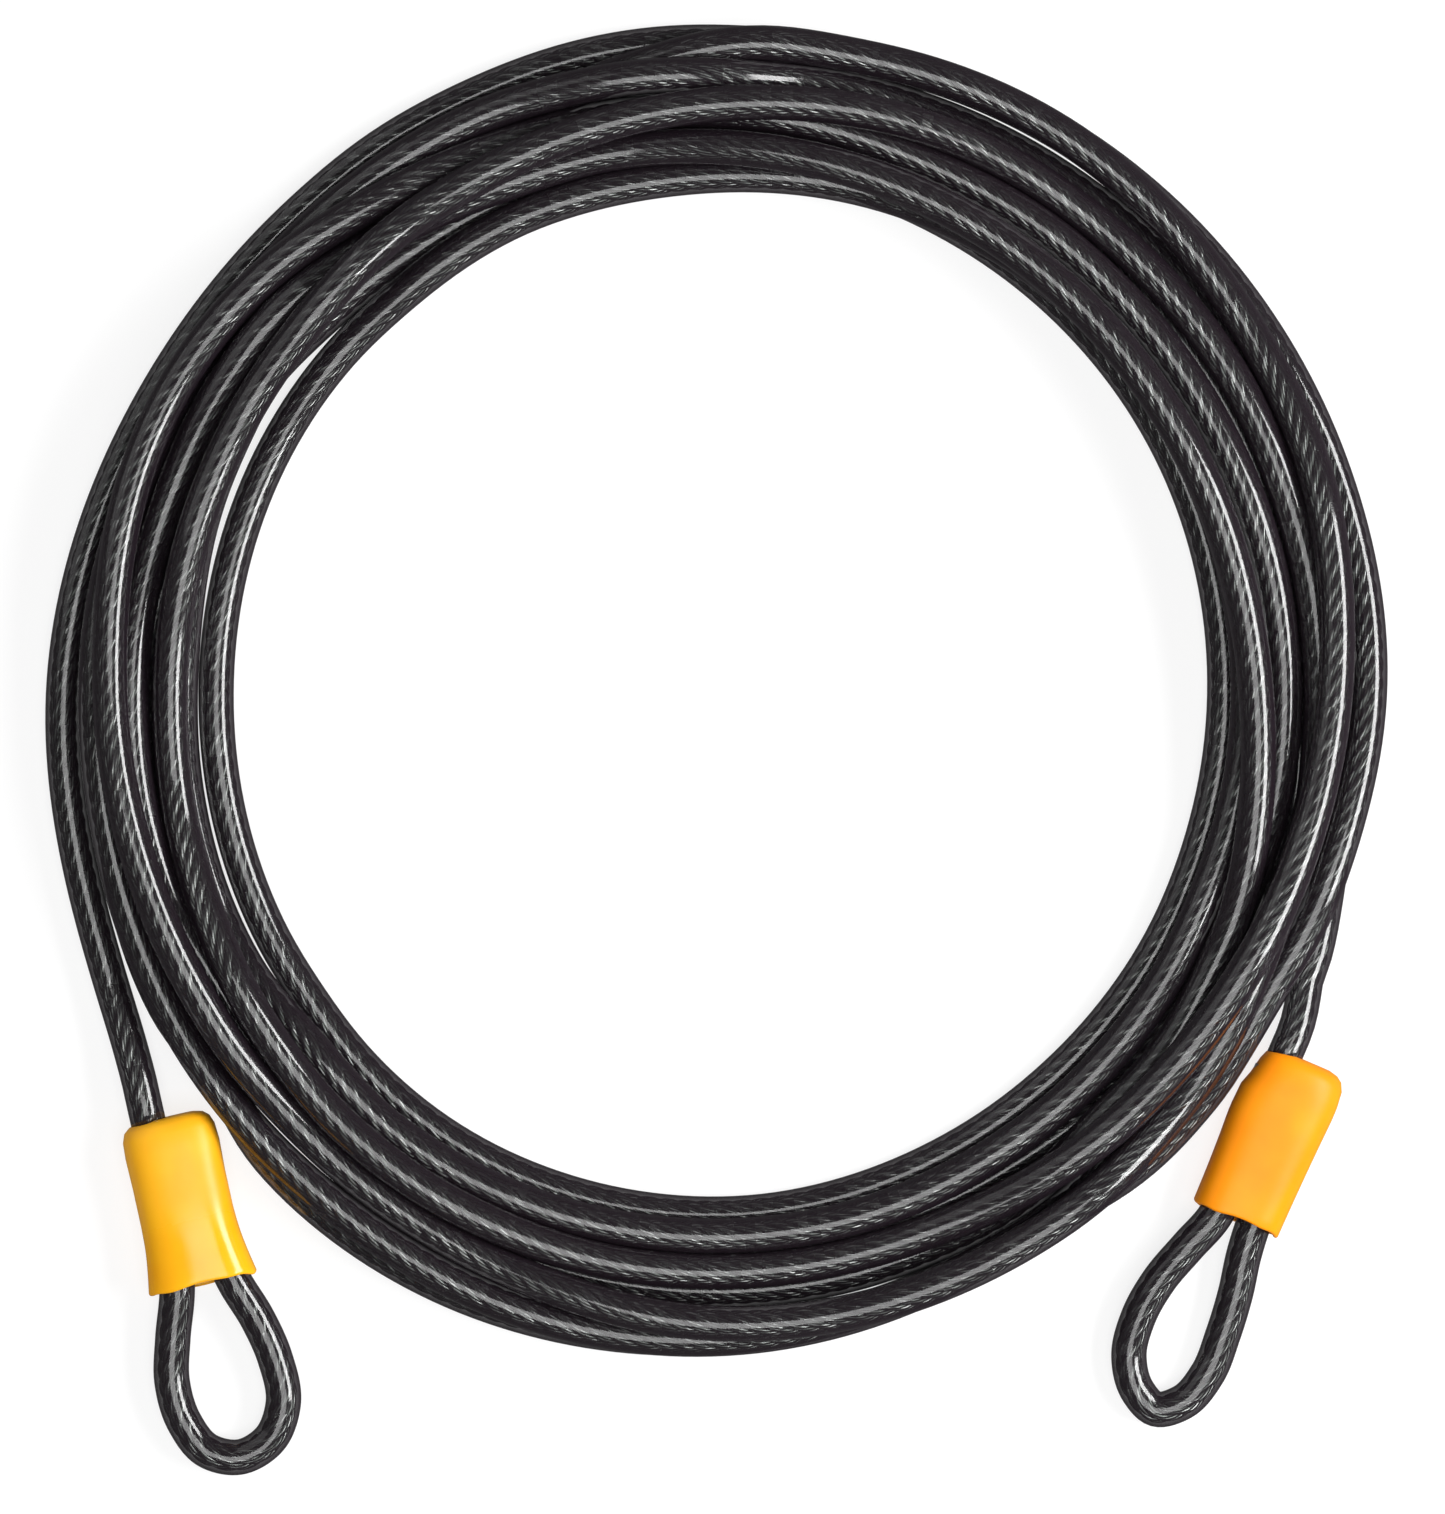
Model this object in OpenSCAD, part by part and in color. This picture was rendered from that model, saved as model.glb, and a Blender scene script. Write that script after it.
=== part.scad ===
// Double-loop security cable: a jacketed steel rope wound into a round coil, with a crimped eye
// at each end. The coil lies flat, +Z is up, and the eyes point towards -Y.

/* [Cable] */
// Outer diameter of the jacketed cable
cable_d = 10; // [9.6:0.1:10]
// Wall of the vinyl jacket round the steel rope
jacket_t = 1; // [0.8:0.1:1]
// Diameter of one strand of the seven-strand steel rope
strand_d = 2.5; // [2.2:0.1:2.5]
// Length of rope in which an outer strand goes once round the core strand
lay_length = 32; // [30:1:60]

/* [Coil] */
// Radius of the open hole in the middle of the coil
coil_inner_r = 138; // [130:1:150]
// Outer radius of the coil
coil_outer_r = 187; // [184:1:188]
// Height of the stacked turns
coil_h = 30; // [26:1:34]

/* [Ferrule] */
// Length of the crimped aluminium ferrule
ferrule_len = 24; // [18:1:24]
// Wall of the ferrule round the two cables
ferrule_t = 1.6; // [1:0.1:1.7]

/* [Sleeve] */
// Length of the plastic sleeve that covers the ferrule
sleeve_len = 48; // [44:1:50]
// Wall of the plastic sleeve
sleeve_t = 1.5; // [1.2:0.1:1.8]
// Half the height of the left sleeve's flared mouth
left_mouth_r = 9; // [8.6:0.1:9]
// Half the height of the right sleeve's straight mouth
right_mouth_r = 8.4; // [8:0.1:8.6]

/* [Hidden] */

smoke = "#2e2b30";
steel = "#9a9ca0";
alloy = "#c4c6c9";
orange = "#f9ab2c";

$fn = 96;
hull_fn = 32;
slice = 0.02; // thickness of the plates that a hull joins

// The coil's centre, placed so that the whole object is centred on the origin
coil_at = [0, 16.5, 0];
edge_r = cable_d / 2;
crown_r = 12;

// Each end has its own frame, placed from the coil's centre: X runs from the sleeve's closed end
// towards the eye, and the two legs of the cable lie side by side at -leg_w and +leg_w.
leg_w = 5.2;
leg_z = 9;
leg_clear = 0.05;
left_end = [-154.8, -118.3];
left_turn = -77;
right_end = [164, -104];
right_turn = -113;

ferrule_start = 5;
bore_r = cable_d / 2 + leg_clear;
ferrule_r = bore_r + ferrule_t;
cap_t = 3;            // thickness of the sleeve's closed end
cavity_r = ferrule_r + leg_clear;
sleeve_r = cavity_r + sleeve_t;
shoulder = 4;         // length of the sleeve's rounded shoulder
flare_start = 26;
flare_mid = 38;
recess_gap = 0.3;     // space between a sleeve and the coil that it lies against

jacket_bore = cable_d / 2 - jacket_t;
strand_ring = strand_d * 1.04; // radius of the circle that the outer strands' centres lie on
strands = 6;
cable_rings = 2;      // rings of a tube for each step of its route
strand_rings = 4;
step_len = 10.5;      // mean length of a step of an eye's route
strand_twist = 360 * step_len / strand_rings / lay_length; // turn of a strand from ring to ring
cable_sides = 12;
strand_sides = 6;

// Routes of the cable's centre line in each end's own frame
left_tail_route = [
  [-56, -8, 5.1], [-40, -7.2, 5.1], [-24, -6, 6.2], [-10, -5.2, 8.4], [-4, -5.2, 9], [0, -5.2, 9]
];
right_tail_route = [
  [-22, -7.6, 5.8], [-10, -5.3, 8.4], [-4, -5.2, 9], [0, -5.2, 9]
];
left_eye_route = [
  [0, -5.2, 9], [10, -5.2, 9], [20, -5.2, 9], [30, -5.2, 9], [40, -6.2, 8.7], [50, -8.3, 8],
  [62, -12.4, 7], [74, -15.5, 6], [86, -14.8, 5.2], [95, -10.5, 5], [99, -1.7, 5], [96, 7.5, 5],
  [87, 13.5, 5.2], [74, 14.2, 6], [62, 12, 7], [50, 8.1, 8], [40, 6.2, 8.7], [30, 5.2, 9],
  [20, 5.2, 9], [10, 5.2, 9], [4, 5.2, 9]
];
right_eye_route = [
  [0, -5.2, 9], [10, -5.2, 9], [20, -5.2, 9], [30, -5.2, 9.2], [40, -5.2, 9.8], [49, -5.8, 10.2],
  [60, -9.4, 9.6], [72, -12.9, 8], [84, -14, 6.5], [95, -12, 5.3], [103, -6, 5], [105.8, 0.6, 5],
  [101, 7, 5], [91, 10.3, 5], [79, 10, 5.2], [67, 8.6, 6], [56, 6.4, 7], [46, 5.3, 8],
  [38, 5.2, 8.7], [30, 5.2, 9], [20, 5.2, 9], [10, 5.2, 9], [4, 5.2, 9]
];

function unit(v) = v / norm(v);
function point(route, i) = route[max(0, min(len(route) - 1, i))];

// Point at position u along a smooth curve through the route's points
function curve(route, u) =
  let (
    i = min(floor(u), len(route) - 2),
    t = u - i,
    a = point(route, i - 1),
    b = point(route, i),
    c = point(route, i + 1),
    d = point(route, i + 2)
  )
  b + t * ((c - a) / 2 + t * ((2 * a - 5 * b + 4 * c - d) / 2 + t * (3 * b - a - 3 * c + d) / 2));

// Direction of the curve at u
function heading(route, u) =
  let (last = len(route) - 1)
  unit(curve(route, min(u + 0.02, last)) - curve(route, max(u - 0.02, 0)));

function ring_count(route, per_step) = (len(route) - 1) * per_step + 1;

// One ring of a tube at u, whose centre is shifted from the curve by off, at the angle turn
function ring(route, u, r, sides, off = 0, turn = 0) =
  let (
    side = unit(cross([0, 0, 1], heading(route, u))),
    up = cross(heading(route, u), side),
    centre = curve(route, u) + off * (cos(turn) * side + sin(turn) * up)
  )
  [for (i = [0:sides - 1]) centre + r * (cos(360 * i / sides) * side + sin(360 * i / sides) * up)];

function wall_faces(rings, sides, first, flip) = [
  for (k = [0:rings - 2], i = [0:sides - 1], half = [0, 1])
    let (
      a = first + k * sides + i,
      b = first + k * sides + (i + 1) % sides,
      tri = half == 0 ? [a, b, b + sides] : [a, b + sides, a + sides]
    )
    flip ? [tri[2], tri[1], tri[0]] : tri
];

// A solid round tube along a route. A strand's centre winds round the curve by one turn in each
// lay length.
module solid_tube(route, d, sides, per_step, off = 0, phase = 0, twist = 0) {
  rings = ring_count(route, per_step);
  points = [
    for (k = [0:rings - 1]) each ring(route, k / per_step, d / 2, sides, off, phase + twist * k)
  ];
  caps = [
    [for (i = [0:sides - 1]) sides - 1 - i],
    [for (i = [0:sides - 1]) (rings - 1) * sides + i]
  ];
  polyhedron(points, concat(wall_faces(rings, sides, 0, false), caps));
}

// A tube with a bore, open at both ends
module hollow_tube(route, d, bore_d, sides) {
  rings = ring_count(route, cable_rings);
  inner = rings * sides;
  points = concat(
    [for (k = [0:rings - 1]) each ring(route, k / cable_rings, d / 2, sides)],
    [for (k = [0:rings - 1]) each ring(route, k / cable_rings, bore_d / 2, sides)]
  );
  rims = [
    for (i = [0:sides - 1], half = [0, 1])
      let (j = (i + 1) % sides)
      half == 0 ? [j, i, inner + i] : [j, inner + i, inner + j],
    for (i = [0:sides - 1], half = [0, 1])
      let (j = (i + 1) % sides, top = (rings - 1) * sides)
      half == 0 ? [top + i, top + j, inner + top + j] : [top + i, inner + top + j, inner + top + i]
  ];
  walls = concat(wall_faces(rings, sides, 0, false), wall_faces(rings, sides, inner, true));
  polyhedron(points, concat(walls, rims));
}

module at_left_end() {
  translate(coil_at + [left_end[0], left_end[1], 0]) rotate([0, 0, left_turn]) children();
}

module at_right_end() {
  translate(coil_at + [right_end[0], right_end[1], 0]) rotate([0, 0, right_turn]) children();
}

// An outline of two circles side by side, joined
module oval(half_gap, r) {
  translate([0, half_gap]) circle(r);
  translate([0, -half_gap]) circle(r);
  translate([-r, -half_gap]) square([2 * r, 2 * half_gap]);
}

// The oval, drawn across the end frame's X and pulled along it from start
module oval_bar(start, length, half_gap, r) {
  translate([start, 0, leg_z]) rotate([0, 90, 0]) linear_extrude(length) oval(half_gap, r);
}

// A flared oval length between two sizes of the outline
module flare(start, end, start_gap, start_r, end_gap, end_r) {
  hull() {
    oval_bar(start, slice, start_gap, start_r, $fn = hull_fn);
    oval_bar(end - slice, slice, end_gap, end_r, $fn = hull_fn);
  }
}

module sleeve(mouth_gap, mouth_r) {
  mid_gap = leg_w + (mouth_gap - leg_w) * 0.3;
  mid_r = sleeve_r + (mouth_r - sleeve_r) * 0.3;
  over = 1; // the cavity runs past the mouth
  difference() {
    union() {
      hull() {
        oval_bar(0, slice, leg_w, sleeve_r - 2, $fn = hull_fn);
        oval_bar(shoulder * 0.3, slice, leg_w, sleeve_r - 0.6, $fn = hull_fn);
        oval_bar(shoulder, slice, leg_w, sleeve_r, $fn = hull_fn);
      }
      oval_bar(shoulder, flare_start - shoulder, leg_w, sleeve_r, $fn = hull_fn);
      flare(flare_start, flare_mid, leg_w, sleeve_r, mid_gap, mid_r);
      flare(flare_mid, sleeve_len, mid_gap, mid_r, mouth_gap, mouth_r);
    }
    oval_bar(cap_t, flare_start - cap_t, leg_w, cavity_r);
    flare(flare_start - slice, flare_mid, leg_w, cavity_r, mid_gap, mid_r - sleeve_t);
    flare(flare_mid - slice, sleeve_len + over, mid_gap, mid_r - sleeve_t, mouth_gap, mouth_r - sleeve_t);
    translate([-over, -leg_w, leg_z]) rotate([0, 90, 0]) cylinder(h = cap_t + 2 * over, r = bore_r);
  }
}

module ferrule() {
  difference() {
    oval_bar(ferrule_start, ferrule_len, leg_w, ferrule_r);
    for (side = [-1, 1]) {
      translate([ferrule_start - 1, side * leg_w, leg_z])
        rotate([0, 90, 0]) cylinder(h = ferrule_len + 2, r = bore_r);
    }
  }
}

// Half of the ring's cross-section, beside the axis of the coil
module coil_section() {
  width = coil_outer_r - coil_inner_r;
  crown_z = coil_h - crown_r;
  translate([coil_inner_r, edge_r]) square([width, crown_z - edge_r]);
  for (x = [coil_inner_r + edge_r, coil_outer_r - edge_r]) translate([x, edge_r]) circle(edge_r);
  translate([coil_inner_r + edge_r, 0]) square([width - 2 * edge_r, edge_r]);
  for (x = [coil_inner_r + crown_r, coil_outer_r - crown_r]) translate([x, crown_z]) circle(crown_r);
  translate([coil_inner_r + crown_r, crown_z]) square([width - 2 * crown_r, crown_r]);
}

module sleeve_recess() {
  oval_bar(-recess_gap, sleeve_len, leg_w, sleeve_r + recess_gap);
}

// The turns of the coil as one closed ring with their outer shape, recessed where the sleeves lie
module cable_coil() {
  color(smoke) difference() {
    translate(coil_at) rotate_extrude() coil_section();
    at_left_end() sleeve_recess();
    at_right_end() sleeve_recess();
  }
}

module left_tail() {
  color(smoke) at_left_end() solid_tube(left_tail_route, cable_d, cable_sides, cable_rings);
}

module right_tail() {
  color(smoke) at_right_end() solid_tube(right_tail_route, cable_d, cable_sides, cable_rings);
}

module left_sleeve() {
  color(orange) at_left_end() sleeve(6.3, left_mouth_r);
}

module right_sleeve() {
  color(orange) at_right_end() sleeve(5, right_mouth_r);
}

module left_ferrule() {
  color(alloy) at_left_end() ferrule();
}

module right_ferrule() {
  color(alloy) at_right_end() ferrule();
}

module left_eye_jacket() {
  color(smoke, 0.6) at_left_end() hollow_tube(left_eye_route, cable_d, 2 * jacket_bore, cable_sides);
}

module right_eye_jacket() {
  color(smoke, 0.6) at_right_end() hollow_tube(right_eye_route, cable_d, 2 * jacket_bore, cable_sides);
}

module core_strand(route) {
  color(steel) solid_tube(route, strand_d, strand_sides, strand_rings);
}

module outer_strand(route, k) {
  color(steel)
    solid_tube(route, strand_d, strand_sides, strand_rings, strand_ring, 360 * k / strands, strand_twist);
}

cable_coil();
left_tail();
right_tail();
left_sleeve();
right_sleeve();
left_ferrule();
right_ferrule();
left_eye_jacket();
right_eye_jacket();
at_left_end() core_strand(left_eye_route);  // left_eye_core_strand
at_right_end() core_strand(right_eye_route);  // right_eye_core_strand
for (k = [1:strands]) {
  at_left_end() outer_strand(left_eye_route, k);
  at_right_end() outer_strand(right_eye_route, k);
}
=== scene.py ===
import math

import bpy
import numpy as np
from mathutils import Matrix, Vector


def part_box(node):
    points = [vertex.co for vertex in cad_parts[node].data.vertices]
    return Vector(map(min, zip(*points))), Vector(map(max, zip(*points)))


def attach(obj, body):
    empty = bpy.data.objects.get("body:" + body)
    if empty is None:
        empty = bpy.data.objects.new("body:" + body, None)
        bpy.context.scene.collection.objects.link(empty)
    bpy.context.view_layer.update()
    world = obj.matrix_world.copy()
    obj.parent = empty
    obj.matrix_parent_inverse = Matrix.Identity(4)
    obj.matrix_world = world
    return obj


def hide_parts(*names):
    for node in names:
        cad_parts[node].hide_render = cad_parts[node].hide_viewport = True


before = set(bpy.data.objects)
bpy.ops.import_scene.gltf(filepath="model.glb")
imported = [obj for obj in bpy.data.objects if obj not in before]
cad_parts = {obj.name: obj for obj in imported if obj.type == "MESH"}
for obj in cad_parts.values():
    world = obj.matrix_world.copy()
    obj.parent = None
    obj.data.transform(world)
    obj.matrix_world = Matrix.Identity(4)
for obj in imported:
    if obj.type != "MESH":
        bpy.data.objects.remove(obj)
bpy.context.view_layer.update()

MM = 0.001

# ---------------------------------------------------------------- sizes, in metres

CABLE_D = 0.010
CABLE_R = CABLE_D / 2
STRAND_D = 0.0025
STRAND_RING = STRAND_D * 1.04   # from the core strand's middle to an outer strand's
STRANDS = 6
ROPE_LAY = 0.032          # an outer strand goes once round the core in this length
WIRES = 7                 # wires that show on one strand
WIRE_LAY = 0.024          # a wire goes once round its strand, the other way, in this length
SEAT = 0.002              # the cable runs this far into a sleeve's closed end
LEG_W = 0.0052            # the two legs of an eye lie this far from the sleeve's middle
LEG_Z = 0.009             # and this far above the ground
LINE_STEP = 0.002         # distance between two points of the cable's line
RING_STEP = 0.004         # between two rings of its jacket
EYE_STEP = 0.001          # and between two points of an eye's line

coil_low, coil_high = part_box("cable_coil")
COIL_AT = np.array([(coil_low[0] + coil_high[0]) / 2, (coil_low[1] + coil_high[1]) / 2, 0.0])

# ---------------------------------------------------------------- the two ends

# Each end has its own frame: X runs from the sleeve's closed end to the eye, Y across its two
# legs. An end is the frame's place, from the coil's centre, and its turn in degrees.
LEFT_END = (-0.1548, -0.1183, -77)
RIGHT_END = (0.164, -0.104, -113)

LEFT_TAIL = [
    (-0.056, -0.008, 0.0051), (-0.040, -0.0072, 0.0051), (-0.024, -0.006, 0.0062),
    (-0.010, -0.0052, 0.0084), (0, -0.0052, 0.009),
]
RIGHT_TAIL = [(-0.022, -0.0076, 0.0058), (-0.010, -0.0053, 0.0084), (0, -0.0052, 0.009)]
LEFT_EYE = [
    (0, -0.0052, 0.009), (0.010, -0.0052, 0.009), (0.020, -0.0052, 0.009),
    (0.030, -0.0052, 0.009), (0.040, -0.0062, 0.0087), (0.050, -0.0083, 0.008),
    (0.062, -0.0124, 0.007), (0.074, -0.0155, 0.006), (0.086, -0.0148, 0.0052),
    (0.095, -0.0105, 0.005), (0.099, -0.0017, 0.005), (0.096, 0.0075, 0.005),
    (0.087, 0.0135, 0.0052), (0.074, 0.0142, 0.006), (0.062, 0.012, 0.007),
    (0.050, 0.0081, 0.008), (0.040, 0.0062, 0.0087), (0.030, 0.0052, 0.009),
    (0.020, 0.0052, 0.009), (0.010, 0.0052, 0.009), (0.004, 0.0052, 0.009),
]
RIGHT_EYE = [
    (0, -0.0052, 0.009), (0.010, -0.0052, 0.009), (0.020, -0.0052, 0.009),
    (0.030, -0.0052, 0.0092), (0.040, -0.0052, 0.0098), (0.049, -0.0058, 0.0102),
    (0.060, -0.0094, 0.0096), (0.072, -0.0129, 0.008), (0.084, -0.014, 0.0065),
    (0.095, -0.012, 0.0053), (0.103, -0.006, 0.005), (0.1058, 0.0006, 0.005),
    (0.101, 0.007, 0.005), (0.091, 0.0103, 0.005), (0.079, 0.010, 0.0052),
    (0.067, 0.0086, 0.006), (0.056, 0.0064, 0.007), (0.046, 0.0053, 0.008),
    (0.038, 0.0052, 0.0087), (0.030, 0.0052, 0.009), (0.020, 0.0052, 0.009),
    (0.010, 0.0052, 0.009), (0.004, 0.0052, 0.009),
]


def from_end(end, points):
    """Points of an end's own frame, in the row frame."""
    points = np.asarray(points, dtype=float)
    c = math.cos(math.radians(end[2]))
    s = math.sin(math.radians(end[2]))
    x = COIL_AT[0] + end[0] + points[..., 0] * c - points[..., 1] * s
    y = COIL_AT[1] + end[1] + points[..., 0] * s + points[..., 1] * c
    return np.stack([x, y, points[..., 2]], axis=-1)


def to_end(end, points):
    """Points of the row frame, in an end's own frame."""
    c = math.cos(math.radians(end[2]))
    s = math.sin(math.radians(end[2]))
    x = points[..., 0] - COIL_AT[0] - end[0]
    y = points[..., 1] - COIL_AT[1] - end[1]
    return np.stack([x * c + y * s, y * c - x * s, points[..., 2]], axis=-1)


# ---------------------------------------------------------------- lines

def hermite(x, known_x, known_y):
    """A smooth curve through known points, at each x."""
    slope = np.gradient(known_y, known_x, axis=0)
    i = np.clip(np.searchsorted(known_x, x, side="right") - 1, 0, len(known_x) - 2)
    step = known_x[i + 1] - known_x[i]
    t = (x - known_x[i]) / step
    if known_y.ndim == 2:
        step = step[:, None]
        t = t[:, None]
    start = (1 + 2 * t) * (1 - t) ** 2 * known_y[i] + t * (1 - t) ** 2 * step * slope[i]
    end = t * t * (3 - 2 * t) * known_y[i + 1] + t * t * (t - 1) * step * slope[i + 1]
    return start + end


def distances(path):
    """Distance along a path of each of its points."""
    steps = np.linalg.norm(np.diff(path, axis=0), axis=1)
    return np.concatenate([[0.0], np.cumsum(steps)])


def evenly(path, gap):
    """The smooth curve through a path's points, as points an even distance apart."""
    along = distances(path)
    count = int(round(along[-1] / gap)) + 1
    return hermite(np.linspace(0, along[-1], count), along, path)


def smooth(values, reach):
    """A running mean with a soft window."""
    window = np.hanning(2 * reach + 3)[1:-1]
    return np.convolve(np.pad(values, reach, mode="edge"), window / window.sum(), mode="valid")


# ---------------------------------------------------------------- the coil's turns

HINT_STEP = 30            # degrees between two hints of the coil's line

# Radius of the cable's centre line, in mm, at each hint from the +X direction, one row for each
# turn. The cable starts at the right sleeve and ends at the left one.
TURN_RADII = [
    [176, 174.5, 174, 173.5, 171.5, 171, 172.5, 177, 179.5, 180.5, 174, 168],
    [164, 164, 162, 160.5, 160, 154, 152.5, 153.5, 154, 153.5, 151, 148.5],
    [148, 148.5, 147.5, 146, 144, 142, 141, 143, 146.5, 147, 144.5, 143.5],
    [143.5, 145, 147, 150, 152.5, 156, 160, 164, 167.5, 168.5, 166.5, 158.5],
    [149.5, 147, 148, 151, 156, 161, 164.5, 162, 158.5, 157, 157.5, 160.5],
    [159, 157.5, 159.5, 162.5, 165, 173, 168.5, 166.5, 170, 176, 175, 171.5],
    [168.5, 169.5, 168, 163, 156.5, 152, 152.5, 156.5, 160, 161, 162.5, 165.5],
    [171.5, 179, 183.5, 179, 170, 165.5, 170, 179.5, 184, 181.5, 174.5, 175],
    [182, 184, 184.5, 182, 179.5, 178.5, 184],
]

# Layer that it lies in at the same places: 0 is on the ground, 1 and 2 lie on other turns
TURN_LAYERS = [
    [0, 0, 0, 1.5, 1, 1, 1, 1, 1, 1, 0.5, 0],
    [0, 0, 0, 0, 0, 1, 1, 1, 1, 1, 1, 1],
    [1, 1, 1, 1, 0.6, 0, 0, 0, 0, 0, 0, 0],
    [0, 0, 0, 0, 0, 0, 0, 0, 0, 0, 0.5, 1],
    [2, 2, 2, 1.8, 1.2, 1.4, 1.2, 1, 0, 0, 0, 0],
    [1, 1, 1, 1, 1.5, 2, 2, 2, 2, 2, 2, 1.5],
    [1, 1, 2, 2.3, 2.2, 2.2, 2, 2, 2, 2, 2, 2],
    [2, 2, 1.5, 1, 0, 0, 0, 0, 0, 0, 0, 0.5],
    [1, 0.5, 0, 0, 0, 0, 0],
]
LAYER_H = 0.87 * CABLE_D
LAYER_STEP = 0.3          # layers that differ by more than this keep their order
TURN_STEP = 2             # degrees between two points of the coil's line
ROUNDS = 1800
LAST_ROUNDS = 500         # of these, the last ones mostly move the turns apart
SIDE_SHARE = 0.3          # how far turns of one layer move apart sideways, of what they overlap
LAYERED_SHARE = 0.2       # and turns that lie on each other
UP_SHARE = 0.5            # how far any two turns move apart up and down, of what they overlap
TOUCHING = 1.005 * CABLE_D      # turns push each other when their lines are nearer than this
DEEPEST = 0.3 * CABLE_D         # the most that two turns push each other in one round
LEAST_UP = 0.35 * CABLE_D       # ordered turns are pushed as if they were at least this far up
SLEEVE_PUSH = 0.001       # the most that a sleeve pushes a turn in one round
SLEEVE_UP_SHARE = 0.3     # share of that push that also lifts the turn
SMOOTH_EVERY = 15         # rounds between two smoothings of the line
SMOOTH_STOP = 60          # this many last rounds have none
SMOOTH_SHARE = 0.5        # share of the way that a smoothing takes the line to its running mean
NO_ZERO = 1e-9            # keeps a division by a gap safe

# How a round goes, and how one of the last rounds goes: the share of the way that a turn is drawn
# back to its hinted radius, how far it sinks, and the reach, in points, over which the moves to
# the side and up are smoothed
EARLY_ROUND = (0.025, 0.00004, 5, 7)
LATE_ROUND = (0.005, 0.000005, 3, 4)
SLEEVE_REACH = 0.0132     # from a sleeve's flat middle to the line of a cable that touches it
SLEEVE_LEN = 0.048


def coil_hints():
    """Angle, radius, height and whether it is held, of each point that the coil passes."""
    hints = []
    for point in from_end(RIGHT_END, RIGHT_TAIL[::-1]) - COIL_AT:
        angle = math.degrees(math.atan2(point[1], point[0]))
        hints.append((angle, math.hypot(point[0], point[1]), point[2], 1))
    for turn, (radii, layers) in enumerate(zip(TURN_RADII, TURN_LAYERS)):
        for i, (radius, layer) in enumerate(zip(radii, layers)):
            hints.append((360 * turn + HINT_STEP * i, radius * MM, CABLE_R + LAYER_H * layer, 0))
    last = 360 * (len(TURN_RADII) - 1)
    for point in from_end(LEFT_END, LEFT_TAIL) - COIL_AT:
        angle = math.degrees(math.atan2(point[1], point[0])) % 360
        hints.append((last + angle, math.hypot(point[0], point[1]), point[2], 1))
    return np.array(hints, dtype=float).T


def clear_of_sleeve(end, angle, radius, height):
    """How far each point of the coil has to move out of a sleeve, along its radius and up."""
    rad = np.radians(angle)
    out = np.stack([np.cos(rad), np.sin(rad), np.zeros_like(rad)], axis=1)
    place = COIL_AT + out * radius[:, None] + np.array([0, 0, 1]) * height[:, None]
    local = to_end(end, place)
    nearest = np.stack([
        np.clip(local[:, 0], 0, SLEEVE_LEN),
        np.clip(local[:, 1], -LEG_W, LEG_W),
        np.full(len(local), LEG_Z),
    ], axis=1)
    away = place - from_end(end, nearest)
    gap = np.linalg.norm(away, axis=1) + NO_ZERO
    push = np.clip(SLEEVE_REACH - gap, 0, SLEEVE_PUSH) / gap
    return push * (away * out).sum(axis=1), push * away[:, 2]


def settle_coil():
    """The coil's line: the hinted turns, pushed apart until they lie on and beside each other."""
    known_angle, known_radius, known_height, known_held = coil_hints()
    first = math.ceil(known_angle[0] / TURN_STEP)
    last = math.floor(known_angle[-1] / TURN_STEP)
    angle = np.arange(first, last + 1) * float(TURN_STEP)
    wanted = hermite(angle, known_angle, known_radius)
    hint = np.interp(angle, known_angle, known_height)
    free = 1 - np.interp(angle, known_angle, known_held)
    radius = wanted.copy()
    height = hint.copy()
    per_turn = 360 // TURN_STEP
    for k in range(ROUNDS):
        late = k >= ROUNDS - LAST_ROUNDS
        drawn_back, sinks, side_reach, up_reach = LATE_ROUND if late else EARLY_ROUND
        move_r = np.zeros_like(radius)
        move_z = np.zeros_like(height)
        for shift in range(per_turn, len(angle), per_turn):
            inner = slice(0, len(angle) - shift)
            outer = slice(shift, len(angle))
            across = radius[outer] - radius[inner]
            up = height[outer] - height[inner]
            order = hint[outer] - hint[inner]
            sign = np.where(order >= 0, 1.0, -1.0)
            ordered = np.abs(order) > LAYER_STEP * LAYER_H
            wrong = ordered & (sign * up < 0) & (np.abs(across) < CABLE_D)
            up = np.where(ordered, sign * np.maximum(sign * up, LEAST_UP), up)
            real_up = height[outer] - height[inner]
            inside = np.where(wrong, CABLE_D, TOUCHING - np.hypot(across, real_up))
            inside = np.clip(inside, 0, DEEPEST)
            gap = np.hypot(across, up) + NO_ZERO
            apart_r = np.where(ordered, LAYERED_SHARE, SIDE_SHARE) * inside * across / gap
            apart_z = UP_SHARE * inside * up / gap
            move_r[inner] -= apart_r
            move_r[outer] += apart_r
            move_z[inner] -= apart_z
            move_z[outer] += apart_z
        for end in (LEFT_END, RIGHT_END):
            out_r, out_z = clear_of_sleeve(end, angle, radius, height)
            move_r += out_r
            move_z += SLEEVE_UP_SHARE * out_z
        radius += smooth(move_r, side_reach) * free
        height += smooth(move_z, up_reach) * free
        radius += drawn_back * (wanted - radius) * free
        height -= sinks * free
        if k % SMOOTH_EVERY == 0 and k < ROUNDS - SMOOTH_STOP:
            height += SMOOTH_SHARE * (smooth(height, 3) - height) * free
            radius += SMOOTH_SHARE * (smooth(radius, 2) - radius) * free
        height = np.maximum(height, CABLE_R)
    rad = np.radians(angle)
    flat = np.stack([radius * np.cos(rad), radius * np.sin(rad), height], axis=1)
    return COIL_AT + flat


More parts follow.
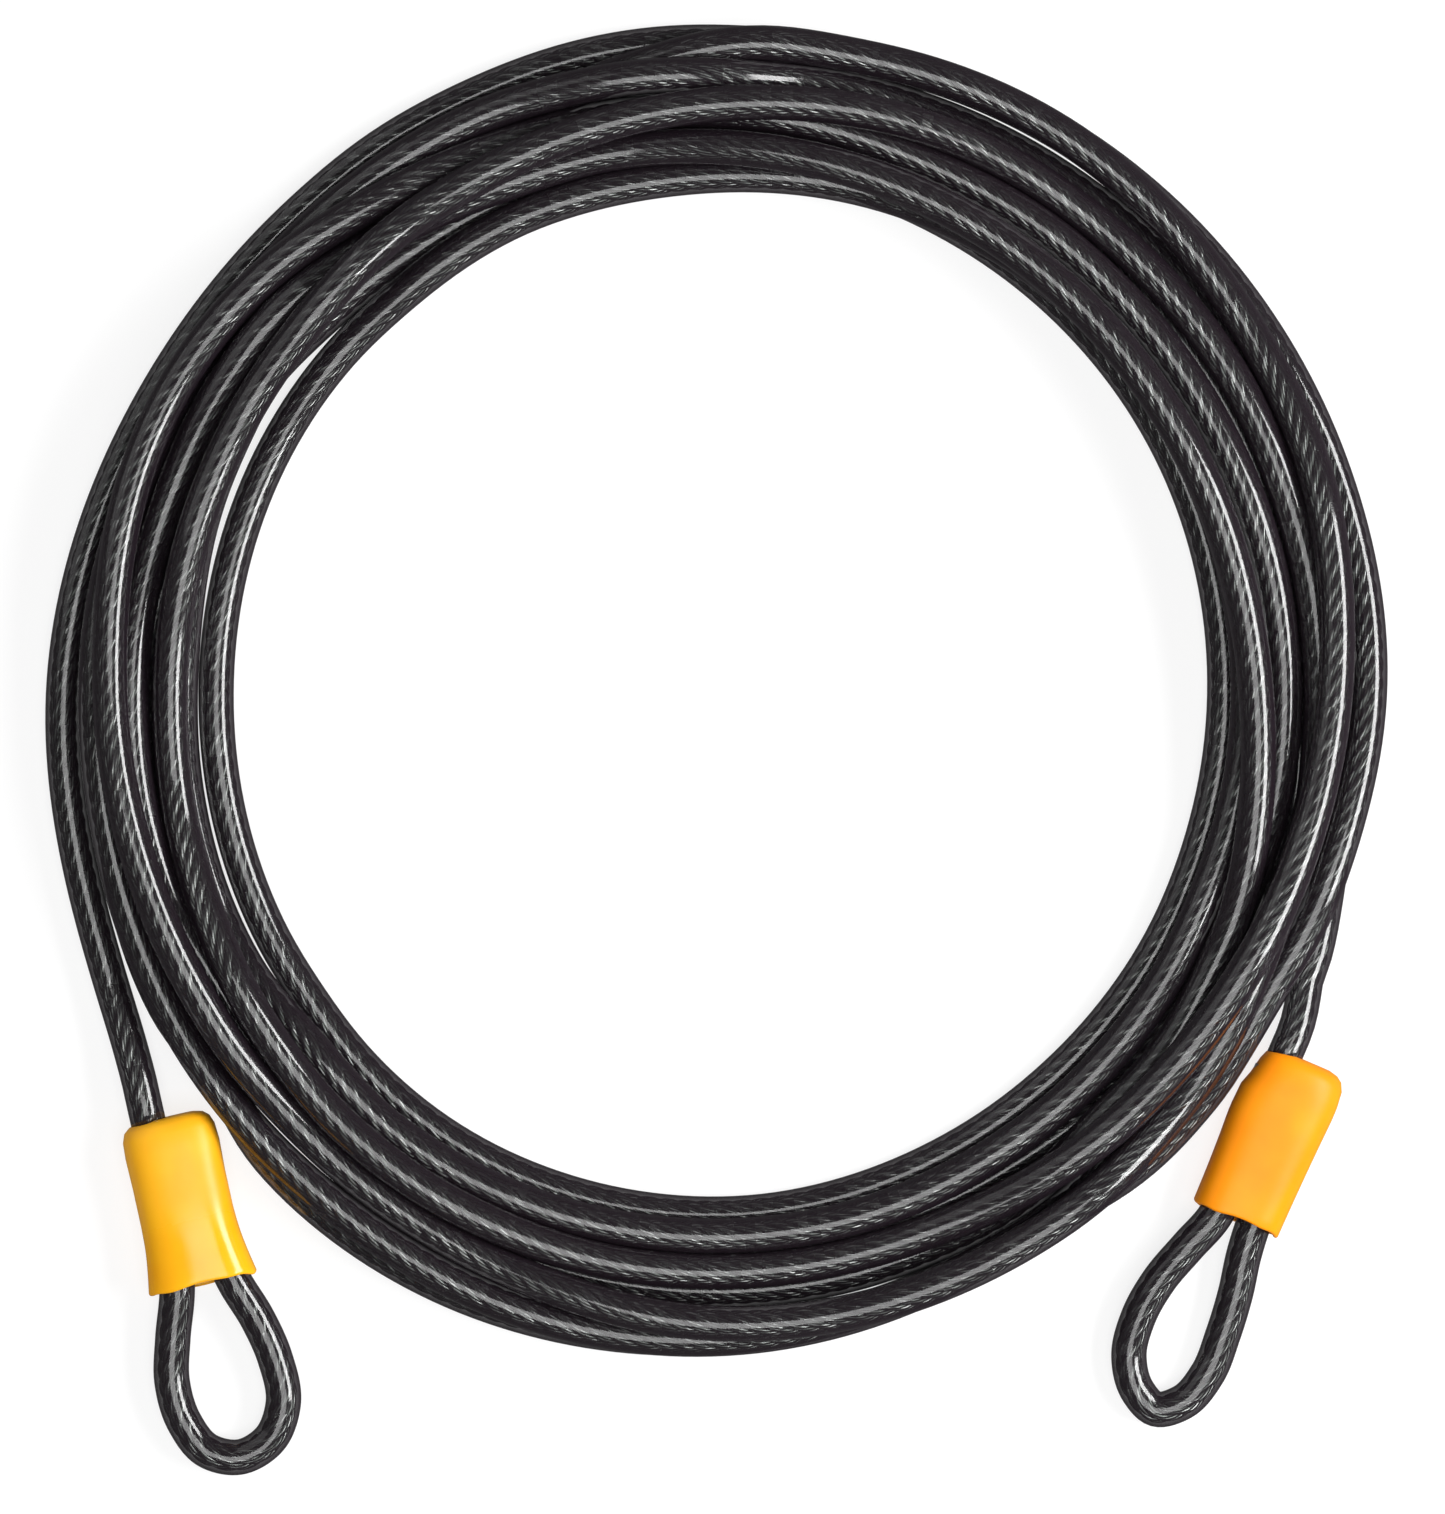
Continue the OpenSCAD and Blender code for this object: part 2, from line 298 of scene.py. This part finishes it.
def cable_path():
    """The whole cable between the sleeves, from inside the right one to inside the left one."""
    start = from_end(RIGHT_END, [(SEAT, -LEG_W, LEG_Z), (0, -LEG_W, LEG_Z)])
    end = from_end(LEFT_END, [(0, -LEG_W, LEG_Z), (SEAT, -LEG_W, LEG_Z)])
    return np.concatenate([start, settle_coil(), end])


def eye_path(end, route):
    """A loop, from the sleeve's closed end round the eye and back to the cable's cut end."""
    line = evenly(from_end(end, route), EYE_STEP)
    return line[distances(line) >= SEAT]


# ---------------------------------------------------------------- tubes

CABLE_SIDES = 24          # sides of the cable's jacket, of an eye's, and of their strands
STRAND_SIDES = 8
EYE_SIDES = 32
EYE_STRAND_SIDES = 16


def across_path(path):
    """The sideways and the upward direction at each point of a path."""
    heading = np.gradient(path, axis=0)
    heading /= np.linalg.norm(heading, axis=1)[:, None]
    side = np.cross([0.0, 0.0, 1.0], heading)
    side /= np.linalg.norm(side, axis=1)[:, None]
    return side, np.cross(heading, side)


def link(name, mesh):
    """A new object with this mesh, in the scene."""
    piece = bpy.data.objects.new(name, mesh)
    bpy.context.scene.collection.objects.link(piece)
    return piece


def skin(name, rings, along):
    """A closed skin over rings of points, with a map of the way round and the way along."""
    count, sides = rings.shape[:2]
    corner = np.arange(count - 1)[:, None] * sides + np.arange(sides)[None, :]
    beside = np.arange(count - 1)[:, None] * sides + (np.arange(sides)[None, :] + 1) % sides
    quads = np.stack([corner, beside, beside + sides, corner + sides], axis=2).reshape(-1, 4)
    faces = quads.tolist()
    faces.append(list(range(sides))[::-1])
    faces.append(list(range((count - 1) * sides, count * sides)))
    mesh = bpy.data.meshes.new(name)
    mesh.from_pydata(rings.reshape(-1, 3).tolist(), [], faces)
    round_way = np.arange(sides) / sides
    u = np.stack([round_way, round_way + 1 / sides, round_way + 1 / sides, round_way], axis=1)
    v = np.stack([along[:-1], along[:-1], along[1:], along[1:]], axis=1)
    uv = np.zeros((count - 1, sides, 4, 2))
    uv[..., 0] = u[None]
    uv[..., 1] = v[:, None]
    flat = np.concatenate([uv.reshape(-1), np.zeros(4 * sides)])
    mesh.uv_layers.new(name="lay").data.foreach_set("uv", flat)
    mesh.shade_smooth()
    return link(name, mesh)


def tube(name, path, radius, sides, centre_off=0.0, phase=0.0):
    """A round tube along a path. Its centre may wind round the path, as a strand's does."""
    along = distances(path)
    side, up = across_path(path)
    wind = phase + 2 * math.pi * along / ROPE_LAY
    centre = path + centre_off * (np.cos(wind)[:, None] * side + np.sin(wind)[:, None] * up)
    turn = 2 * math.pi * np.arange(sides) / sides
    ring = np.cos(turn)[None, :, None] * side[:, None] + np.sin(turn)[None, :, None] * up[:, None]
    return skin(name, centre[:, None] + radius * ring, along)


def strand_set(prefix, path, sides):
    """The rope's core strand and the outer strands that wind round it."""
    core = tube(prefix + "core_strand", path, STRAND_D / 2, sides)
    outer = [
        tube(f"{prefix}strand_{k}", path, STRAND_D / 2, sides, STRAND_RING,
             2 * math.pi * k / STRANDS)
        for k in range(1, STRANDS + 1)
    ]
    return [core] + outer


# ---------------------------------------------------------------- sleeves

WALL = 0.0014
AROUND = 72               # points on each ring
OUTLINE_POWER = 2.5       # 2 is an ellipse, more is squarer
LIP = 0.0007              # radius of the mouth's rounded edge
LEAN = 0.0007             # the mouth's lower edge lies this much further out than its middle
WAVE = 0.0003             # height of the mouth's long unevenness, and of the short one
RIPPLE = 0.0002
SHOULDER_ROWS = 6         # rows of a profile that shape its closed end
SIDE_RINGS = 14           # rings from there to the mouth
INNER_RINGS = 12          # rings of the inside
INNER_BACK = 0.002        # the inside's first ring lies this far behind the mouth
INNER_START = 0.005       # its last ring lies here, from the closed end
INNER_FLOOR = 0.003       # and its smaller flat floor here
FLOOR_WIDTH = 0.85        # size of that floor, as a share of the last ring
FLOOR_HEIGHT = 0.75
HOLE_CLEAR = 0.00005      # the cable's hole is this much wider than the cable on each side
HOLE_SIDES = 48
SHARP_EDGE = 50           # edges that turn by more degrees than this look sharp

# Distance from the closed end, width to each side of the middle, and half of the height
LEFT_PROFILE = [
    (0.0010, 0.0082, 0.0078, 0.0046), (0.0016, 0.0108, 0.0103, 0.0060),
    (0.0030, 0.0125, 0.0119, 0.0072), (0.0054, 0.0134, 0.0128, 0.0080),
    (0.0100, 0.0137, 0.0131, 0.0083), (0.0190, 0.0136, 0.0127, 0.0083),
    (0.0290, 0.0137, 0.0126, 0.0083), (0.0370, 0.0141, 0.0131, 0.0084),
    (0.0430, 0.0149, 0.0140, 0.0087), (0.0482, 0.0158, 0.0150, 0.0089),
]
RIGHT_PROFILE = [
    (-0.0010, 0.0066, 0.0080, 0.0046), (-0.0004, 0.0088, 0.0106, 0.0060),
    (0.0008, 0.0103, 0.0123, 0.0072), (0.0032, 0.0112, 0.0135, 0.0080),
    (0.0078, 0.0121, 0.0140, 0.0083), (0.0118, 0.0134, 0.0140, 0.0083),
    (0.0180, 0.0137, 0.0137, 0.0083), (0.0280, 0.0133, 0.0133, 0.0083),
    (0.0380, 0.0130, 0.0130, 0.0083), (0.0470, 0.0129, 0.0128, 0.0083),
]


def sleeve_ring(row, shrink, reach):
    """One ring of a sleeve: a rounded oval, as points of the end's own frame. It is smaller than
    its profile by shrink on each side, and has a share, reach, of the mouth's unevenness."""
    s, left, right, half_h = row
    turn = 2 * math.pi * np.arange(AROUND) / AROUND
    c = np.cos(turn)
    n = np.sin(turn)
    bend = 2 / OUTLINE_POWER
    width = np.where(c < 0, left, right) - shrink
    across = width * np.sign(c) * np.abs(c) ** bend
    height = (half_h - shrink) * np.sign(n) * np.abs(n) ** bend
    uneven = WAVE * np.sin(3 * turn + 1) + RIPPLE * np.sin(7 * turn)
    lean = -LEAN * np.sin(turn)
    place = s + reach * (uneven + lean)
    return np.stack([np.broadcast_to(place, turn.shape), across, LEG_Z + height], axis=1)


def cable_hole(end):
    """The space that the cable takes in a sleeve's closed end."""
    line = from_end(end, [(x, -LEG_W, LEG_Z) for x in (-0.004, 0.0, 0.003, 0.007)])
    return tube("cable_hole", line, CABLE_R + HOLE_CLEAR, HOLE_SIDES)


def sleeve(name, end, profile):
    """A moulded sleeve: a tube with a closed, round-shouldered end, a wall and an open mouth."""
    known = np.array(profile)
    down_side = np.linspace(known[SHOULDER_ROWS, 0], known[-1, 0], SIDE_RINGS)
    spots = np.concatenate([known[:SHOULDER_ROWS, 0], down_side])
    outer = [sleeve_ring(row, 0, row[0] / known[-1, 0])
             for row in np.column_stack([spots, hermite(spots, known[:, 0], known[:, 1:])])]
    mouth = known[-1]
    lip = []
    for angle in np.radians(range(30, 181, 30)):
        row = mouth + np.array([LIP * math.sin(angle), 0, 0, 0])
        lip.append(sleeve_ring(row, LIP * (1 - math.cos(angle)), 1))
    back = np.linspace(known[-1, 0] - INNER_BACK, INNER_START, INNER_RINGS)
    inner = [sleeve_ring(row, WALL, row[0] / known[-1, 0])
             for row in np.column_stack([back, hermite(back, known[:, 0], known[:, 1:])])]
    floor_row = inner[-1].copy()
    floor_row[:, 0] = INNER_FLOOR
    floor_row[:, 1] *= FLOOR_WIDTH
    floor_row[:, 2] = LEG_Z + (floor_row[:, 2] - LEG_Z) * FLOOR_HEIGHT
    rings = np.array(outer + lip + inner + [floor_row])
    piece = skin(name, from_end(end, rings), rings[:, :, 0].mean(axis=1))
    hole = cable_hole(end)
    cut = piece.modifiers.new("cable_hole", "BOOLEAN")
    cut.operation = "DIFFERENCE"
    cut.solver = "EXACT"
    cut.object = hole
    cut_piece = piece.evaluated_get(bpy.context.evaluated_depsgraph_get())
    shaped = bpy.data.meshes.new_from_object(cut_piece)
    piece.modifiers.clear()
    bpy.data.objects.remove(hole)
    piece.data = shaped
    shaped.shade_smooth()
    shaped.set_sharp_from_angle(angle=math.radians(SHARP_EDGE))
    return piece


# ---------------------------------------------------------------- materials

STRETCH_FROM = 0.024      # a sleeve's plastic is stretched between these distances down it
STRETCH_TO = 0.036
PASSED_STRAIGHT = 0.40    # share of the light that the vinyl passes where it is seen straight on
LEAST_FACING = 0.1        # cosine of the steepest slant at which its thickness still grows
WIRE_SPOT = 0.003         # length of wire that keeps one painted glint brightness


def add_node(tree, kind, inputs, **settings):
    """A new node, with its settings made and its inputs set or linked."""
    node = tree.nodes.new(kind)
    for name, value in settings.items():
        setattr(node, name, value)
    for key, value in inputs.items():
        if isinstance(value, bpy.types.NodeSocket):
            tree.links.new(value, node.inputs[key])
        else:
            node.inputs[key].default_value = value
    return node


def maths(tree, operation, *values):
    """One step of arithmetic on numbers or on other nodes' outputs."""
    return add_node(tree, "ShaderNodeMath", dict(enumerate(values)), operation=operation).outputs[0]


def blend_between(tree, factor, low, high):
    """A number that goes from low to high as the factor goes from 0 to 1."""
    return add_node(tree, "ShaderNodeMapRange", {0: factor, 3: low, 4: high}).outputs[0]


def ramp(tree, factor, stops):
    """A colour that goes through the stops as the factor goes from 0 to 1."""
    node = add_node(tree, "ShaderNodeValToRGB", {0: factor})
    node.color_ramp.elements[0].position = stops[0][0]
    node.color_ramp.elements[0].color = (*stops[0][1], 1)
    node.color_ramp.elements[1].position = stops[-1][0]
    node.color_ramp.elements[1].color = (*stops[-1][1], 1)
    for position, colour in stops[1:-1]:
        node.color_ramp.elements.new(position).color = (*colour, 1)
    return node.outputs[0]


def noise(tree, scale, detail):
    """Noise in space, fixed to the object."""
    place = add_node(tree, "ShaderNodeTexCoord", {}).outputs["Object"]
    inputs = {"Scale": scale, "Detail": detail, "Vector": place}
    return add_node(tree, "ShaderNodeTexNoise", inputs).outputs["Fac"]


def bump(tree, height, strength, distance):
    """A surface direction, tilted as a height says. The distance is in metres."""
    inputs = {"Height": height, "Strength": strength, "Distance": distance}
    return add_node(tree, "ShaderNodeBump", inputs).outputs[0]


def new_material(name, **sockets):
    """A material with one Principled shader, whose sockets are set by name."""
    material = bpy.data.materials.new(name)
    material.use_nodes = True
    shader = material.node_tree.nodes["Principled BSDF"]
    for key, value in sockets.items():
        shader.inputs[key.replace("_", " ")].default_value = value
    return material, material.node_tree, shader


def steel_wire():
    """Wires laid side by side round a strand. Their colour has painted shade in the grooves between
    them, a painted highlight along each wire's crown and painted glints that change from spot to
    spot.
    """
    material, tree, shader = new_material("steel_wire", Metallic=1.0)
    uv = add_node(tree, "ShaderNodeUVMap", {}, uv_map="lay").outputs[0]
    part = add_node(tree, "ShaderNodeSeparateXYZ", {0: uv})
    turns = maths(tree, "ADD", part.outputs[0], maths(tree, "DIVIDE", part.outputs[1], WIRE_LAY))
    wire = maths(tree, "MULTIPLY", turns, float(WIRES))
    off_middle = maths(tree, "MULTIPLY_ADD", maths(tree, "FRACT", wire), 2.0, -1.0)
    squared = maths(tree, "MULTIPLY", off_middle, off_middle)
    crown = maths(tree, "SQRT", maths(tree, "SUBTRACT", 1.0, squared))
    # Each length of wire gets its own random brightness, a painted glint, and a matching roughness.
    patch = maths(tree, "FLOOR", maths(tree, "DIVIDE", part.outputs[1], WIRE_SPOT))
    number = maths(tree, "FLOOR", wire)
    spot = add_node(tree, "ShaderNodeCombineXYZ", {0: number, 1: patch}).outputs[0]
    random = add_node(tree, "ShaderNodeTexWhiteNoise", {"Vector": spot}, noise_dimensions="3D")
    shade = random.outputs[0]
    # Painted highlight on each wire's crown and painted shade in the grooves, scaled by the painted
    # glints.
    painted_light = maths(tree, "MULTIPLY", crown, blend_between(tree, shade, 0.2, 1.0))
    colour = ramp(tree, painted_light, [
        (0.0, (0.02, 0.022, 0.02)), (0.5, (0.36, 0.40, 0.37)), (1.0, (0.92, 0.96, 0.93)),
    ])
    tree.links.new(colour, shader.inputs["Base Color"])
    tree.links.new(blend_between(tree, shade, 0.36, 0.2), shader.inputs["Roughness"])
    tree.links.new(bump(tree, crown, 0.9, 0.0003), shader.inputs["Normal"])
    return material


def smoke_vinyl():
    """Clear vinyl tinted a smoky black, glossy. It is darker where it is seen at a slant, through
    more of its thickness."""
    material, tree, shader = new_material(
        "smoke_vinyl", Base_Color=(0.016, 0.011, 0.015, 1), IOR=1.52, Specular_IOR_Level=0.8,
    )
    slant = add_node(tree, "ShaderNodeLayerWeight", {"Blend": 0.5}).outputs["Facing"]
    facing = maths(tree, "MAXIMUM", maths(tree, "SUBTRACT", 1.0, slant), LEAST_FACING)
    passed = maths(tree, "POWER", PASSED_STRAIGHT, maths(tree, "DIVIDE", 1.0, facing))
    tree.links.new(maths(tree, "SUBTRACT", 1.0, passed), shader.inputs["Alpha"])
    broad = noise(tree, 60.0, 2.0)
    tree.links.new(blend_between(tree, broad, 0.07, 0.12), shader.inputs["Roughness"])
    return material


def orange_plastic(name, dark, light, gloss, mouth_roughness):
    """Soft moulded plastic, slightly cloudy between two tones. It is satin, and where it is
    stretched, near the mouth, its roughness is a share of the satin's."""
    material, tree, shader = new_material(name, IOR=1.42, Specular_IOR_Level=gloss)
    cloud = noise(tree, 55.0, 3.0)
    tree.links.new(ramp(tree, cloud, [(0.3, dark), (0.7, light)]), shader.inputs["Base Color"])
    uv = add_node(tree, "ShaderNodeUVMap", {}, uv_map="lay").outputs[0]
    down = add_node(tree, "ShaderNodeSeparateXYZ", {0: uv}).outputs[1]
    stretch = add_node(tree, "ShaderNodeMapRange", {0: down, 1: STRETCH_FROM, 2: STRETCH_TO})
    satin = blend_between(tree, noise(tree, 300.0, 3.0), 0.36, 0.46)
    at_mouth = maths(tree, "MULTIPLY", satin, mouth_roughness)
    mix = blend_between(tree, stretch.outputs[0], satin, at_mouth)
    tree.links.new(mix, shader.inputs["Roughness"])
    grain = noise(tree, 1500.0, 2.0)
    tree.links.new(bump(tree, grain, 0.05, 0.0001), shader.inputs["Normal"])
    return material


def pressed_aluminium():
    """Dull aluminium with the fine scratches of the press."""
    material, tree, shader = new_material("pressed_aluminium", Metallic=1.0)
    scratch = noise(tree, 700.0, 4.0)
    colour = ramp(tree, scratch, [(0.3, (0.55, 0.56, 0.58)), (0.7, (0.78, 0.79, 0.81))])
    tree.links.new(colour, shader.inputs["Base Color"])
    tree.links.new(blend_between(tree, scratch, 0.32, 0.5), shader.inputs["Roughness"])
    tree.links.new(bump(tree, scratch, 0.15, 0.0001), shader.inputs["Normal"])
    return material


def studio_floor():
    """Pale paper that glows a little, so that shadows on it stay faint."""
    material, tree, shader = new_material(
        "studio_floor", Roughness=0.85, Emission_Color=(1, 1, 1, 1), Emission_Strength=0.8,
    )
    stops = [(0.3, (0.21, 0.21, 0.21)), (0.7, (0.23, 0.23, 0.23))]
    tone = ramp(tree, noise(tree, 3.0, 2.0), stops)
    tree.links.new(tone, shader.inputs["Base Color"])
    return material


def finish_piece(piece, material):
    """Gives a piece its material and its slot, and lets it ride on the object's one body."""
    piece.data.materials.clear()
    piece.data.materials.append(material)
    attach(piece, "root")


# ---------------------------------------------------------------- camera

FRAME_H = 0.4239          # height of the view, on the plane that is looked at
PLANE_H = 0.012           # height of that plane, in the middle of the bundle
EYE_H = 1.40              # from that plane to the camera
AIM_OFF = (0.0015, -0.0182)     # from the coil's middle to the middle of the view
SENSOR = 24               # height of the camera's sensor, in mm

FLOOR_REACH = 3           # from the middle of the floor to its edges
WORLD_GLOW = 0.10


def make_camera():
    """Straight down on the coil, with +Y up in the picture."""
    camera = bpy.data.cameras.new("camera")
    camera.sensor_fit = "VERTICAL"
    camera.sensor_height = SENSOR
    camera.lens = SENSOR * EYE_H / FRAME_H
    rig = bpy.data.objects.new("camera", camera)
    rig.location = (COIL_AT[0] + AIM_OFF[0], COIL_AT[1] + AIM_OFF[1], EYE_H + PLANE_H)
    bpy.context.scene.collection.objects.link(rig)
    bpy.context.scene.camera = rig


def area_light(name, place, size, glow):
    """A white soft box at a place, turned to face the origin, as bright as its glow all over."""
    lamp = bpy.data.lights.new(name, "AREA")
    lamp.shape = "RECTANGLE"
    lamp.size = size[0]
    lamp.size_y = size[1]
    lamp.energy = glow * size[0] * size[1] * math.pi
    box = bpy.data.objects.new(name, lamp)
    box.location = place
    tilt = math.atan2(math.hypot(place[0], place[1]), place[2])
    box.rotation_euler = (tilt, 0, math.atan2(-place[1], -place[0]) - math.pi / 2)
    bpy.context.scene.collection.objects.link(box)


def make_studio():
    """A plain pale floor, with a soft box overhead and one on each side. Glossy surfaces don't
    mirror the floor, which keeps the cable's edges dark."""
    mesh = bpy.data.meshes.new("floor")
    corners = [(x * FLOOR_REACH, y * FLOOR_REACH, 0) for x, y in ((-1, -1), (1, -1), (1, 1), (-1, 1))]
    mesh.from_pydata(corners, [], [(0, 1, 2, 3)])
    mesh.materials.append(studio_floor())
    floor = link("floor", mesh)
    floor.visible_glossy = False
    world = bpy.data.worlds.new("studio")
    world.use_nodes = True
    background = world.node_tree.nodes["Background"]
    background.inputs["Color"].default_value = (1, 1, 1, 1)
    background.inputs["Strength"].default_value = WORLD_GLOW
    bpy.context.scene.world = world
    area_light("overhead_box", (0.05, -0.3, 1.35), (0.8, 0.8), 5)
    area_light("left_box", (-1.0, 0.7, 0.9), (1.2, 1.2), 0.6)
    area_light("right_box", (1.0, 0.0, 0.9), (1.0, 0.5), 16)
    bpy.context.scene.view_settings.view_transform = "Standard"


# ---------------------------------------------------------------- making

make_camera()

vinyl = smoke_vinyl()
wire = steel_wire()
yellow_orange = orange_plastic(
    "yellow_orange_plastic", (0.92, 0.38, 0.006), (0.96, 0.47, 0.010), 0.5, 0.38,
)
deep_orange = orange_plastic(
    "deep_orange_plastic", (0.86, 0.24, 0.003), (0.90, 0.30, 0.004), 0.25, 0.9,
)
aluminium = pressed_aluminium()

cable_line = evenly(cable_path(), LINE_STEP)
jacket = tube("cable_jacket", evenly(cable_line, RING_STEP), CABLE_R, CABLE_SIDES)
finish_piece(jacket, vinyl)
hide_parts("cable_coil", "left_tail", "right_tail")
rope = strand_set("cable_", cable_line, STRAND_SIDES)
for strand in rope:
    finish_piece(strand, wire)

for side, end, route in (("left", LEFT_END, LEFT_EYE), ("right", RIGHT_END, RIGHT_EYE)):
    line = eye_path(end, route)
    eye = tube(f"{side}_loop_jacket", line, CABLE_R, EYE_SIDES)
    finish_piece(eye, vinyl)
    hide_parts(f"{side}_eye_jacket")
    for strand in strand_set(f"{side}_loop_", line, EYE_STRAND_SIDES):
        finish_piece(strand, wire)
        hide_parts(strand.name.replace("loop", "eye"))

for side, end, profile, plastic in (
    ("left", LEFT_END, LEFT_PROFILE, yellow_orange),
    ("right", RIGHT_END, RIGHT_PROFILE, deep_orange),
):
    cover = sleeve(f"{side}_sleeve_cover", end, profile)
    finish_piece(cover, plastic)
    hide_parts(f"{side}_sleeve")
    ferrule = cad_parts[f"{side}_ferrule"]
    ferrule.data.materials.clear()
    ferrule.data.materials.append(aluminium)

make_studio()
